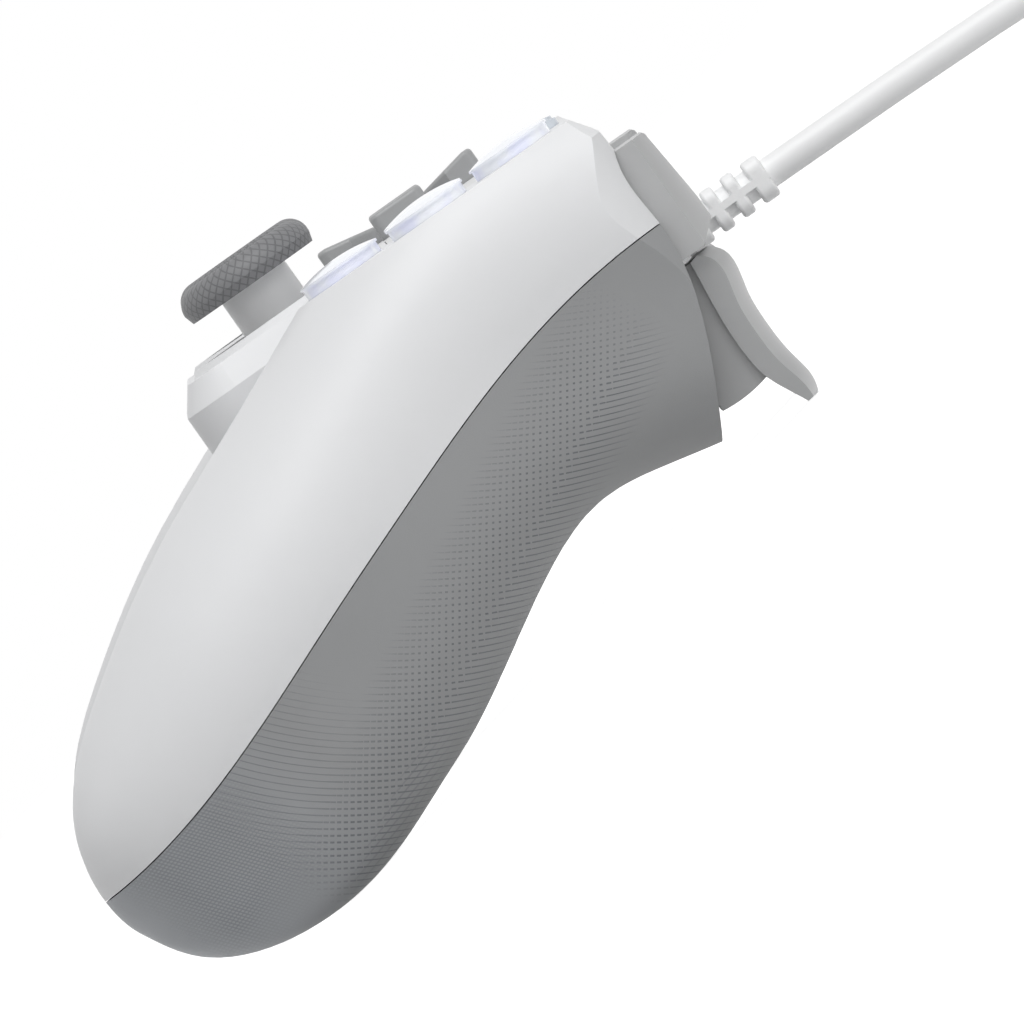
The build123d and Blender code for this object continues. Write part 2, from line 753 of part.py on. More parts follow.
# Bumpers: a curved key in front of the housing, with a tongue and a stop behind the front wall
with BuildPart() as bumper_right:
    with BuildSketch(Plane.YZ.offset(bumper_inner)):
        with BuildLine():
            brow = bumper_reach - bumper_slope
            Polyline((bumper_stop_front, -bumper_top), (brow - bumper_edge, -bumper_top),
                     (brow, -bumper_top - bumper_edge), (bumper_reach, -bumper_face_top),
                     (bumper_reach, -bumper_face_bottom), (bumper_reach - bumper_chin, -bumper_drop),
                     (front_reach - bumper_heel, -bumper_drop),
                     (front_reach - bumper_heel, -bumper_tongue_drop),
                     (bumper_tongue_rear, -bumper_tongue_drop), (bumper_tongue_rear, -bumper_tongue_top),
                     (bumper_stop_front, -bumper_tongue_top), close=True)
        make_face()
    extrude(amount=bumper_outer - bumper_inner)
    with BuildSketch(Plane.XY):
        with BuildLine():
            outer = TangentArc((bumper_outer - bumper_round, bumper_reach),
                               (bumper_outer, bumper_reach - bumper_round_depth), tangent=(1, 0))
            inner = CenterArc((bumper_inner + bumper_corner, bumper_reach - bumper_corner), bumper_corner,
                              start_angle=90, arc_size=90)
            Line(inner @ 0, outer @ 0)
            Polyline(inner @ 1, (bumper_inner, 0), (bumper_outer, 0), outer @ 1)
        make_face()
    extrude(amount=-bumper_drop - overrun, mode=Mode.INTERSECT)
    with BuildSketch(Plane.XZ.offset(-bumper_stop_front + bumper_stop_thickness)):
        with Locations(((bumper_inner + bumper_outer) / 2, -bumper_tongue_top)):
            Rectangle(bumper_outer - bumper_inner - 2 * bumper_stop_margin,
                      bumper_tongue_top - bumper_stop_top, align=(Align.CENTER, Align.MIN))
    extrude(amount=-bumper_stop_thickness)
pieces["bumper_right"] = bumper_right
pieces["bumper_left"] = twin(bumper_right)

# Triggers: a blade that is curved both ways, and a hollow web behind it that turns on the pin
trigger_plane = Plane(origin=(trigger_inner, pivot_y, pivot_z), x_dir=(0, 1, 0), z_dir=(1, 0, 0))
trigger_depth = trigger_reach - pivot_y
with BuildPart() as trigger_right:
    blade_width = trigger_outer - trigger_inner
    for across, crown in ((0, trigger_crown), (blade_width / 2, 0), (blade_width, trigger_crown)):
        with BuildSketch(trigger_plane.offset(across)):
            edge = in_shares(trigger_front_shares, trigger_depth, trigger_length)
            edge = [(y - share * crown, z) for (y, z), share in zip(edge, trigger_crown_shares)]
            with BuildLine():
                front = Spline(*edge)
                back = Spline(*in_shares(trigger_back_shares, trigger_depth, trigger_length))
                Line(front @ 1, back @ 0)
                Line(back @ 1, front @ 0)
            make_face()
    loft()
    with BuildSketch(trigger_plane.offset(web_margin)):
        Circle(web_radius)
        with Locations((-hub_radius, 0)):
            Rectangle(hub_radius + web_front, web_radius, align=(Align.MIN, Align.MAX), mode=Mode.INTERSECT)
        Circle(hub_radius)
    extrude(amount=trigger_web_outer - trigger_web_inner)
    with BuildSketch(trigger_plane.offset(web_margin + web_wall)):
        Circle(web_radius - web_wall)
        with Locations((web_front - web_wall, hub_radius)):
            Rectangle(web_radius, web_radius + hub_radius, align=(Align.MAX, Align.MAX), mode=Mode.INTERSECT)
    extrude(amount=trigger_web_outer - trigger_web_inner - 2 * web_wall, mode=Mode.SUBTRACT)
    with BuildSketch(trigger_plane):
        Circle(trigger_pin_radius + pin_gap)
    extrude(amount=blade_width, mode=Mode.SUBTRACT)
pieces["trigger_right"] = trigger_right
pieces["trigger_left"] = twin(trigger_right)

with BuildPart() as trigger_pin_right:
    with BuildSketch(trigger_plane.offset(web_margin - web_gap - bracket_thickness)):
        Circle(trigger_pin_radius)
    extrude(amount=trigger_web_outer - trigger_web_inner + 2 * (web_gap + bracket_thickness))
pieces["trigger_pin_right"] = trigger_pin_right
pieces["trigger_pin_left"] = twin(trigger_pin_right)

# Rumble motors in the grips, each with an off-centre weight on its shaft
motor_plane = Plane(origin=(motor_inner, motor_y, motor_z), x_dir=(0, 1, 0), z_dir=(1, 0, 0))
with BuildPart() as motor_right:
    with BuildSketch(motor_plane):
        Circle(motor_radius)
    extrude(amount=motor_length)
    chamfer(motor_right.edges().filter_by(GeomType.CIRCLE), length=motor_shaft_radius)
    with BuildSketch(motor_plane.offset(motor_length)):
        Circle(motor_shaft_radius + pin_gap)
    extrude(amount=-motor_length / 2, mode=Mode.SUBTRACT)
pieces["motor_right"] = motor_right
pieces["motor_left"] = twin(motor_right)

with BuildPart() as weight_right:
    with BuildSketch(motor_plane.offset(motor_length / 2 + travel_gap)):
        Circle(motor_shaft_radius)
    extrude(amount=motor_length / 2 + weight_gap + weight_length)
    with BuildSketch(motor_plane.offset(motor_length + weight_gap)):
        Circle(weight_radius)
        Rectangle(2 * weight_radius, weight_radius, align=(Align.CENTER, Align.MIN), mode=Mode.SUBTRACT)
        Circle(2 * motor_shaft_radius)
    extrude(amount=weight_length)
pieces["motor_weight_right"] = weight_right
pieces["motor_weight_left"] = twin(weight_right)

# Main board, headset jack and case screws
with BuildPart() as main_board:
    with BuildSketch(Plane.XY.offset(-main_board_drop)):
        with Locations((0, (main_board_front - main_board_rear) / 2)):
            RectangleRounded(2 * main_board_half_width, main_board_front + main_board_rear, standoff_radius)
    extrude(amount=-board_thickness)
pieces["main_board"] = main_board

with BuildPart() as headset_jack:
    with BuildSketch(Plane.XY.offset(-main_board_drop)):
        with Locations((0, wall - centre_rear)):
            Rectangle(2 * jack_half_width, jack_length, align=(Align.CENTER, Align.MIN))
    extrude(amount=main_board_drop + jack_z + jack_half_width)
    with BuildSketch(Plane.XZ.offset(centre_rear)):
        with Locations((0, jack_z)):
            Circle(jack_nose_radius)
    extrude(amount=-wall)
    with BuildSketch(Plane.XZ.offset(centre_rear)):
        with Locations((0, jack_z)):
            Circle(jack_bore_radius)
    extrude(amount=-jack_bore_depth, mode=Mode.SUBTRACT)
pieces["headset_jack"] = headset_jack

with BuildPart() as case_screws:
    for x, y, top in screw_places:
        with BuildSketch(Plane.XY.offset(-top - web_floor)):
            with Locations((x, y), (-x, y)):
                Circle(screw_head_radius)
        extrude(amount=-screw_head_height)
        with BuildSketch(Plane.XY.offset(-top - web_floor)):
            with Locations((x, y), (-x, y)):
                Circle(screw_radius)
        extrude(amount=web_floor + screw_bite)
pieces["case_screws"] = case_screws


def relief_rib(front, thickness):
    """One soft-edged rib of the strain relief, from its front face rearwards."""
    with BuildPart() as rib:
        with BuildSketch(Plane.XZ.offset(-front)):
            with Locations((0, cord_z)):
                RectangleRounded(rib_width, rib_width, rib_corner)
        extrude(amount=thickness)
        fillet(rib.faces().filter_by(Axis.Y).edges(), radius=rib_edge)
    return rib.part


# Strain relief: ribs joined by a core and by a flat spine on each side, with windows between
with BuildPart() as strain_relief:
    with BuildSketch(Plane.XZ.offset(-relief_collar_front + relief_collar_thickness)):
        with Locations((0, cord_z)):
            RectangleRounded(collar_width, collar_width, rib_corner)
    extrude(amount=-relief_collar_thickness)
    with BuildSketch(Plane.XZ.offset(-relief_collar_front)):
        with Locations((0, cord_z)):
            RectangleRounded(neck_width, neck_width, rib_corner)
    extrude(amount=relief_collar_front - relief_neck_front)
    with BuildSketch(Plane.XZ.offset(-relief_neck_front)):
        with Locations((0, cord_z)):
            Circle(cord_radius)
            Rectangle(rib_width, spine_height)
    extrude(amount=relief_neck_front - relief_reach)
    add(relief_rib(relief_reach, end_rib_thickness))
    for rib in range(1, rib_count):
        add(relief_rib(relief_reach - end_rib_thickness + rib_thickness - rib * rib_pitch, rib_thickness))
pieces["strain_relief"] = strain_relief

# Tip the whole pad about X to the way it lies, and put the middle of its underside at the origin
tipped = Rotation(-tilt, 0, 0)
corners = [piece.part.moved(tipped).bounding_box() for piece in pieces.values()]
rear = min(box.min.Y for box in corners)
front = max(box.max.Y for box in corners)
floor = min(box.min.Z for box in corners)
stand = Location((0, -(rear + front) / 2, -floor)) * tipped
for piece in pieces.values():
    piece.part = piece.part.moved(stand)
belly = pieces["lower_shell"].part.bounding_box().min.Z
tip = pieces["trigger_right"].part.bounding_box().min.Z
cord_exit = stand * Location((0, relief_reach, cord_z))
print("belly", round(belly, 3), "trigger tip", round(tip, 3), "cord exit", cord_exit.position)
print("shift", round(-(rear + front) / 2, 4), round(-floor, 4))

# The cord, in the tipped frame: out of the relief, down to the floor, into a flat coil and on to its plug
cord_route = [cord_exit.position, (0, 95.3, 13.26), (0, 131, 2), (0, 166, 2)]
coil_y = 170
coil_radius = 35
coil_pitch = 4.5
coil_half_turns = 10
bend_share = 0.45
marks_per_edge = 24


def bend_radii(route):
    """Each bend as wide as its two runs allow."""
    radii = []
    for before, corner, after in zip(route, route[1:], route[2:]):
        first = Vector(corner) - Vector(before)
        second = Vector(after) - Vector(corner)
        turn = math.radians(first.get_angle(second))
        radii.append(bend_share * min(first.length, second.length) / math.tan(turn / 2))
    return radii


def tube(route):
    """A round tube of the cord's size along straight runs and tangent arcs."""
    radii = bend_radii(route)
    with BuildPart() as piece:
        with BuildLine() as path:
            FilletPolyline(*route, radius=radii)
        with BuildSketch(Plane(origin=route[0], z_dir=Vector(route[1]) - Vector(route[0]))):
            Circle(cord_radius)
        sweep()
    length = sum(edge.length for edge in path.edges())
    print("radii", [round(r) for r in radii], "length", round(length, 1),
          "volume share", round(piece.part.volume / (math.pi * cord_radius**2 * length), 4))
    return piece


pieces["cord"] = tube(cord_route)


def half_turn(x, z, way, radius):
    """Half a turn of the coil, from one side of its middle line to the other."""
    across = way * radius
    ThreePointArc((x, coil_y, z), (x - across, coil_y + across, z), (x - 2 * across, coil_y, z))


def least_gap(edges):
    """The least free space between any two turns of the coil, measured on points along its line."""
    marks = []
    travelled = 0
    for edge in edges:
        for step in range(marks_per_edge):
            share = step / marks_per_edge
            marks.append((travelled + share * edge.length, *(edge @ share)))
        travelled += edge.length
    least = math.inf
    for order, (start, *here) in enumerate(marks):
        for along, *there in marks[order + 1:]:
            if along - start > 2 * math.pi * cord_radius:
                least = min(least, math.dist(here, there))
    return least - 2 * cord_radius


# Half turns from the cord's end, heading to +Y: inwards on the floor, up a layer, and outwards again
steps = list(range(coil_half_turns))
radii = [coil_radius - step * coil_pitch / 2 for step in steps]
climb_radius = coil_radius - coil_half_turns * coil_pitch / 2
with BuildPart() as cord_coil:
    with BuildLine() as coil_path:
        x = 0
        z = cord_radius
        way = 1
        Line((x, coil_y - 2 * cord_radius, z), (x, coil_y, z))
        for radius in radii:
            half_turn(x, z, way, radius)
            x = x - way * 2 * radius
            way = -way
        reach = math.sqrt(climb_radius**2 + coil_pitch**2 / 4)
        foot = Vector(x, coil_y, z)
        head = Vector(x - way * 2 * climb_radius, coil_y, z + coil_pitch)
        middle = Vector(x - way * climb_radius, coil_y + way * reach, z + coil_pitch / 2)
        for start, end in ((foot, middle), (middle, head)):
            side = foot if start == foot else head
            knee = Vector(side.X, coil_y + way * reach, side.Z)
            chord_middle = (start + end) * 0.5
            cosine = (end - start).length / 2 / (knee - side).length
            ThreePointArc(start, chord_middle + (knee - chord_middle) * (cosine / (1 + cosine)), end)
        x = head.X
        z = head.Z
        way = -way
        for radius in reversed(radii):
            half_turn(x, z, way, radius)
            x = x - way * 2 * radius
            way = -way
        Line((x, coil_y, z), (x, coil_y + way * 2 * cord_radius, z))
    with BuildSketch(Plane(origin=(0, coil_y - 2 * cord_radius, cord_radius), z_dir=(0, 1, 0))):
        RegularPolygon(cord_radius, coil_sides)
    sweep()
coil_length = sum(edge.length for edge in coil_path.edges())
print("coil length", round(coil_length, 1), "least gap", round(least_gap(coil_path.edges()), 2))
pieces["cord_coil"] = cord_coil

# The cord's tail, its plug's grip and the plug's metal shell
tail_route = [(-70, 166, 6.5), (-70, 154, 6.5), (-70, 141, 4.25), (-70, 130, 4.25)]
pieces["cord_tail"] = tube(tail_route)
tail_x, plug_y, plug_z = tail_route[-1]
plug_face = Plane(origin=(tail_x, plug_y - plug_length, plug_z), x_dir=(1, 0, 0), z_dir=(0, -1, 0))
with BuildPart() as plug_grip:
    with BuildSketch(Plane(origin=(tail_x, plug_y, plug_z), x_dir=(1, 0, 0), z_dir=(0, -1, 0))):
        RectangleRounded(plug_width, 2 * plug_z, plug_corner)
    extrude(amount=plug_length)
    fillet(plug_grip.faces().filter_by(Axis.Y).edges(), radius=plug_edge)
    with BuildSketch(plug_face):
        with Locations((0, tongue_height / 2 - tongue_offset)):
            Rectangle(plug_shell_width - 4 * plug_shell_wall, tongue_height)
    extrude(amount=plug_shell_length - plug_edge)
pieces["plug_grip"] = plug_grip

with BuildPart() as plug_shell:
    with BuildSketch(plug_face):
        RectangleRounded(plug_shell_width, plug_shell_height, plug_shell_wall)
        Rectangle(plug_shell_width - 2 * plug_shell_wall, plug_shell_height - 2 * plug_shell_wall,
                  mode=Mode.SUBTRACT)
    extrude(amount=plug_shell_length)
pieces["plug_shell"] = plug_shell

os.makedirs("parts", exist_ok=True)
for name, piece in pieces.items():
    piece.part.label = name
    print(name, piece.part.is_valid, len(piece.part.solids()), round(piece.part.volume))
    export_step(piece.part, f"parts/{name}.step")
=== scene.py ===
# %% [markdown]
# A wired gamepad, seen from its right side. Its solid pieces come from the packed model, which is
# already in metres and in the right place, so this lesson gives them their finishes, lays the cord
# as one smooth curve, and sets the light and the camera.

# %% Load the model
import math

import bpy
from mathutils import Matrix, Vector


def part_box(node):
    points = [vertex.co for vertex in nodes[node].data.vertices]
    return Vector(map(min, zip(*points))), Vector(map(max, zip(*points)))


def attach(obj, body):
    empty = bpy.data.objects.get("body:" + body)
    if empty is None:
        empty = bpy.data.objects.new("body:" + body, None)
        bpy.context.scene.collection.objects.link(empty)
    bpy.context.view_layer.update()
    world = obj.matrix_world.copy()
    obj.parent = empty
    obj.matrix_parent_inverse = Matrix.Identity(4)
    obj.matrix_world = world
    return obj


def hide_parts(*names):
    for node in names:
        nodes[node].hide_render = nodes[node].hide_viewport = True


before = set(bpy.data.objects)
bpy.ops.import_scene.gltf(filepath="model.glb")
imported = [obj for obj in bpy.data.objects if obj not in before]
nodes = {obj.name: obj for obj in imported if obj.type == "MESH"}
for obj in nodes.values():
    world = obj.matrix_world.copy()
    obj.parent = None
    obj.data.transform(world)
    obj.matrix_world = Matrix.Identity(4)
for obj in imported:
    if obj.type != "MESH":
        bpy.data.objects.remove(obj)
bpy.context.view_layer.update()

# %% [markdown]
# The pad lies tipped forward on its triggers, so its deck, the flat top, slopes down to the front.
# Many finishes and the camera follow the deck and not the table. Two directions describe it: away
# from the player along the deck, and straight up out of it.

# %% The deck's directions and the right face button's place
deck_tilt = math.radians(12.24)
deck_away = Vector((0, math.cos(deck_tilt), -math.sin(deck_tilt)))
deck_up = Vector((0, math.sin(deck_tilt), math.cos(deck_tilt)))
east_low, east_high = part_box("button_east_core")
core_middle = (east_low + east_high) / 2
core_depth = 0.0035
deck_origin = core_middle + deck_up * core_depth / 2
deck_origin.x = 0
print("deck origin", [round(v, 5) for v in deck_origin])


def on_deck(x, y, z):
    """A point given along the deck: to the right, away from the player, and up."""
    return deck_origin + Vector((x, 0, 0)) + deck_away * y + deck_up * z


# %% [markdown]
# The photograph was taken from the right with a very long lens, just above the deck's own level.
# The camera stands far off and has a narrow field, so the far grip hides behind the near one. It is
# also rolled: the deck runs up to the right at about 35 degrees.

# %% Camera
picture_field = 0.1215
deck_rise = math.radians(35.2)
camera_lift = math.radians(0.9)
camera_distance = 5.0
sensor_width = 36
far_clip = 50
middle_side = 0.070
middle_away = -0.0121
middle_up = -0.0340
target = on_deck(middle_side, middle_away, middle_up)
back = (Vector((1, 0, 0)) * math.cos(camera_lift) + deck_up * math.sin(camera_lift)).normalized()
picture_up = deck_away * math.sin(deck_rise) + deck_up * math.cos(deck_rise)
picture_up = (picture_up - back * picture_up.dot(back)).normalized()
picture_right = picture_up.cross(back)
camera = bpy.data.objects.new("Camera", bpy.data.cameras.new("Camera"))
bpy.context.scene.collection.objects.link(camera)
turn = Matrix((picture_right, picture_up, back)).transposed().to_4x4()
camera.matrix_world = Matrix.Translation(target + back * camera_distance) @ turn
camera.data.sensor_width = sensor_width
camera.data.lens = sensor_width * camera_distance / picture_field
camera.data.clip_end = far_clip
bpy.context.scene.camera = camera
print("lens", round(camera.data.lens), "mm")

# %% [markdown]
# Shader nodes are easier to read as sums. This small class wraps a number that flows between nodes,
# so that `1 - mask` or `a * b` adds the Math node it stands for. Nodes could also be placed and
# linked one by one, but then the formula behind a pattern would be hard to see.


# %% A number in a shader
class Flow:
    def __init__(self, socket):
        self.socket = socket

    def math(self, operation, *others, flip=False):
        """The Math node of that name. Flip puts the other number first, as `1 - mask` needs."""
        node = self.socket.id_data.nodes.new("ShaderNodeMath")
        node.operation = operation
        values = [self, *others]
        if flip:
            values.reverse()
        for slot, value in zip(node.inputs, values):
            if isinstance(value, Flow):
                node.id_data.links.new(value.socket, slot)
            else:
                slot.default_value = value
        return Flow(node.outputs[0])

    def __add__(self, other):
        return self.math("ADD", other)

    def __radd__(self, other):
        return self.math("ADD", other, flip=True)

    def __sub__(self, other):
        return self.math("SUBTRACT", other)

    def __rsub__(self, other):
        return self.math("SUBTRACT", other, flip=True)

    def __mul__(self, other):
        return self.math("MULTIPLY", other)

    def __rmul__(self, other):
        return self.math("MULTIPLY", other, flip=True)

    def __truediv__(self, other):
        return self.math("DIVIDE", other)

    def __lt__(self, other):
        return self.math("LESS_THAN", other)

    def clip(self):
        """Held between 0 and 1."""
        return self.math("MAXIMUM", 0.0).math("MINIMUM", 1.0)

    def stripes(self, pitch, share):
        """1 on lines that lie a pitch apart, each as wide as its share of the pitch, and 0 between."""
        return (self / pitch).math("FRACT") < share

    def ramp(self, low, high):
        """0 below low, 1 above high, and even between."""
        return ((self - low) / (high - low)).clip()


print("Flow knows", ", ".join(name for name in vars(Flow) if not name.startswith("_")))

# %% [markdown]
# Materials and the world are both trees of nodes. The `node` method adds any node to one of them:
# first the settings that change its sockets, then the values or links that go into them.


# %% A tree of nodes
class Nodes:
    def __init__(self, owner):
        owner.use_nodes = True
        self.tree = owner.node_tree
        self.tree.nodes.clear()

    def node(self, kind, settings=None, inputs=None):
        """A shader node of that kind, set up and linked."""
        node = self.tree.nodes.new("ShaderNode" + kind)
        for name, value in (settings or {}).items():
            setattr(node, name, value)
        for name, value in (inputs or {}).items():
            if isinstance(value, Flow):
                value = value.socket
            if isinstance(value, bpy.types.NodeSocket):
                self.tree.links.new(value, node.inputs[name])
            else:
                node.inputs[name].default_value = value
        return node

    def seen_rays(self):
        """1 on rays from the camera and those that gloss or glass passes on, and 0 on all others."""
        path = self.node("LightPath")
        rays = [Flow(path.outputs[f"Is {kind} Ray"]) for kind in ("Camera", "Glossy", "Transmission")]
        return (rays[0] + rays[1] + rays[2]).clip()


print("a tree adds nodes, and tells the rays that are looked along from those that light things")

# %% [markdown]
# A finish is one material on a tree of its own. Its patterns are worked out from the place on the
# model, in metres, so they need no unwrapped map. `surface` ends every finish with the same
# Principled shader, and a bump height in metres gives it relief.


# %% A finish
class Finish(Nodes):
    def __init__(self, name):
        self.material = bpy.data.materials.new(name)
        super().__init__(self.material)

    def place(self):
        """The point on the model, in metres."""
        return self.node("TexCoord").outputs["Object"]

    def noise(self, scale, detail=2.0, roughness=0.5):
        """A soft random pattern from 0 to 1, finer with a greater scale."""
        node = self.node("TexNoise", {}, {"Vector": self.place(), "Scale": scale, "Detail": detail,
                                          "Roughness": roughness})
        return Flow(node.outputs["Fac"])

    def along(self, direction, start=Vector((0, 0, 0))):
        """How far the point lies along a direction from a start, in metres."""
        offset = self.node("VectorMath", {"operation": "SUBTRACT"}, {0: self.place(), 1: tuple(start)})
        ends = {0: offset.outputs[0], 1: tuple(direction)}
        return Flow(self.node("VectorMath", {"operation": "DOT_PRODUCT"}, ends).outputs["Value"])

    def blend(self, mask, low, high):
        """Colour low where the mask is 0 and high where it is 1."""
        mix = self.node("Mix", {"data_type": "RGBA"}, {0: mask})
        for name, colour in (("A", low), ("B", high)):
            slot = [s for s in mix.inputs if s.name == name and s.type == "RGBA"][0]
            if isinstance(colour, bpy.types.NodeSocket):
                self.tree.links.new(colour, slot)
            else:
                slot.default_value = (*colour, 1)
        return [s for s in mix.outputs if s.type == "RGBA"][0]

    def surface(self, colour, roughness, height=None, **rest):
        """The finished material. The rest are other inputs of its shader, by their names."""
        inputs = {"Roughness": roughness}
        inputs["Base Color"] = colour if isinstance(colour, bpy.types.NodeSocket) else (*colour, 1)
        if height is not None:
            bump = self.node("Bump", {}, {"Height": height, "Distance": 1.0, "Strength": 1.0})
            inputs["Normal"] = bump.outputs[0]
        for name, value in rest.items():
            inputs[name.replace("_", " ")] = value
        shader = self.node("BsdfPrincipled", {}, inputs)
        output = self.node("OutputMaterial")
        self.tree.links.new(shader.outputs[0], output.inputs["Surface"])
        return self.material


print("a finish has", ", ".join(name for name in vars(Finish) if not name.startswith("_")))

# %% [markdown]
# Most plastics here are one shade that drifts a little, and some have a fine skin of relief. One
# helper makes these. Another puts a material on the solids in place of the plain one they came with.

# %% Plain plastics, and dressing a piece
millimetres = 1000
skin_height = 0.00001


def plastic(name, shades, cloud_scale, roughness, skin_scale=None):
    """A finish that drifts between two close shades, with a fine skin where that has a scale."""
    finish = Finish(name)
    shade = finish.blend(finish.noise(cloud_scale), *shades)
    skin = finish.noise(skin_scale) * skin_height if skin_scale else None
    return finish.surface(shade, roughness, height=skin)


def dress(material, *names):
    """Give CAD pieces a material in place of their plain one."""
    for name in names:
        if not nodes[name].material_slots:
            nodes[name].data.materials.append(material)
        for slot in nodes[name].material_slots:
            slot.material = material
    print(material.name, "on", ", ".join(names))


print("the skin is", skin_height * millimetres, "mm high")

# %% [markdown]
# The top shell and the rings round the sticks are white moulded plastic. Such a shell has a fine
# spark-eroded skin. It could be a flat gloss, but a little noise in its height spreads the
# highlight, and a slow noise in its roughness keeps the gloss from looking even.

# %% White shell
white = Finish("white_shell")
white_low, white_high = (0.775, 0.782, 0.795), (0.815, 0.820, 0.830)
grain = white.noise(scale=9000, detail=3.0, roughness=0.6)
cloud = white.noise(scale=40)
shade = white.blend(cloud, white_low, white_high)
white_shell = white.surface(shade, roughness=0.42 + 0.08 * cloud, height=grain * skin_height)
dress(white_shell, "upper_shell", "stick_ring_right", "stick_ring_left")

# %% [markdown]
# The stems under the caps are the same plastic without the skin, because their domes have to slide
# under the rings. They could share the shell's finish, but they are glossier, and painted whiter
# than the shell as painted light, for the light that the caps' shadow keeps off them.

# %% Smooth white for the stems
stem = Finish("lit_white_stem")
# Painted light: the stems' white is lighter than the shell's, for the light the caps' shadow takes.
lit_stem_low, lit_stem_high = (0.86, 0.865, 0.87), (0.90, 0.903, 0.907)
stem_cloud = stem.noise(scale=200)
lit_stem_shade = stem.blend(stem_cloud, lit_stem_low, lit_stem_high)
lit_white_stem = stem.surface(lit_stem_shade, roughness=0.3 + 0.1 * stem_cloud)
dress(lit_white_stem, "stick_stem_right", "stick_stem_left")

# %% [markdown]
# The lower shell is mid grey, and its grips are engraved for the fingers. On the real shell a laser
# cuts this into the mould, so it could be carved as geometry, but marks less than a tenth of a
# millimetre deep read just as well as relief in the finish. Rows follow the grip. They are broken
# into dots along its middle and longer dashes further down, and run on as thin lines towards the
# seam and the belly. To place them, a point is measured across and up as the camera sees the grip,
# and then from the seam and towards the tail.

# %% Where a mark lies on the grip, in millimetres
grey = Finish("grey_shell")
lean_across, lean_along = 0.832, 0.555
dots_from_seam = 1.0
dots_drift = 0.12
grip_inside = (33, 38)
grip_middle = on_deck(0, middle_away, middle_up)
level = deck_away * math.cos(deck_rise) - deck_up * math.sin(deck_rise)
upright = deck_away * math.sin(deck_rise) + deck_up * math.cos(deck_rise)
side_x = millimetres * grey.along(level, grip_middle)
side_y = millimetres * grey.along(upright, grip_middle)
from_seam = lean_across * side_x - lean_along * side_y
to_tail = -lean_along * side_x - lean_across * side_y
from_dots = from_seam - dots_from_seam - dots_drift * to_tail
outwards = millimetres * grey.along((1, 0, 0)).math("ABSOLUTE")
on_grip = outwards.ramp(*grip_inside)
print("the grips are engraved from", grip_inside, "mm beside the pad's middle outwards")

# %% [markdown]
# The rows are arcs, so each height is lowered by the square of its distance from the arc's lowest
# point. Stripes along a row break it into marks. Pairs of numbers say over which millimetres, from
# the line of dots or towards the tail, one kind of mark gives way to the next.

# %% Rows of dots, dashes and thin lines
row_pitch = 0.80
arc_x, arc_y, arc_lean, arc_bend = -19.6, -34, 0.36, 0.009
dot_share, tail_gain, line_gain = 0.32, 0.30, 0.7
row_width, seam_thinning, belly_thinning = 0.30, 0.16, 0.12
seam_lines, belly_lines = (3.0, 7.0), (1.5, 3.5)
seam_fade, belly_fade = (-7.5, -1.5), (4.5, 8.0)
long_dashes, lower_half, lower_strength = (20, 34), (28, 38), 0.55
front_fade, tail_fade = (-29, -19), (45, 51)
sag = side_x - arc_x - arc_lean * (side_y - arc_y)
row = side_y - arc_bend * sag * sag
by_seam = (-1 * from_dots).ramp(*seam_lines)
by_belly = from_dots.ramp(*belly_lines)
dash_share = dot_share + tail_gain * to_tail.ramp(*long_dashes) + line_gain * by_seam + line_gain * by_belly
row_share = row_width - seam_thinning * by_seam - belly_thinning * by_belly
towards_seam = from_dots.ramp(*seam_fade).math("MAXIMUM", to_tail.ramp(*lower_half) * lower_strength)
ends = to_tail.ramp(*front_fade) * (1 - to_tail.ramp(*tail_fade))
rows = side_x.stripes(row_pitch, dash_share) * row.stripes(row_pitch, row_share)
marks = rows * towards_seam * (1 - from_dots.ramp(*belly_fade)) * ends
print("rows lie", row_pitch, "mm apart")

# %% [markdown]
# The tail has a weave: two sets of stripes that cross, finer than the rows. An image could hold it,
# but stripes stay sharp however near the camera comes.

# %% The weave at the tail
flat_lean, flat_pitch, flat_share = 0.30, 0.42, 0.38
cross_lean, cross_pitch, cross_share = 0.8, 0.55, 0.30
weave_start, weave_end, weave_inside = (43, 50), (59, 64), (0, 7)
flat = (side_y + flat_lean * side_x).stripes(flat_pitch, flat_share)
across = (side_x - cross_lean * side_y).stripes(cross_pitch, cross_share)
weave = flat.math("MAXIMUM", across) * to_tail.ramp(*weave_start) * (1 - to_tail.ramp(*weave_end))
weave = weave * (1 - from_seam.ramp(*weave_inside))
print("the weave starts", weave_start[0], "mm down the grip")

# %% [markdown]
# By the belly, steep lines run across the last rows. The three sets are then put together, the two
# finer ones more faintly, and kept to the grips.

# %% Steep lines by the belly, and the whole engraving
steep_across, steep_up, steep_pitch, steep_share = 0.77, 0.64, 0.75, 0.26
steep_near, steep_far, steep_start, steep_end = (1.0, 2.5), (4.0, 6.5), (24, 32), (42, 49)
weave_strength, steep_strength = 0.55, 0.45
steep = (steep_across * side_x - steep_up * side_y).stripes(steep_pitch, steep_share)
steep = steep * from_dots.ramp(*steep_near) * (1 - from_dots.ramp(*steep_far))
steep = steep * to_tail.ramp(*steep_start) * (1 - to_tail.ramp(*steep_end))
engraving = (marks + weave_strength * weave + steep_strength * steep).clip() * on_grip
print("steep lines start", steep_start[0], "mm down the grip")
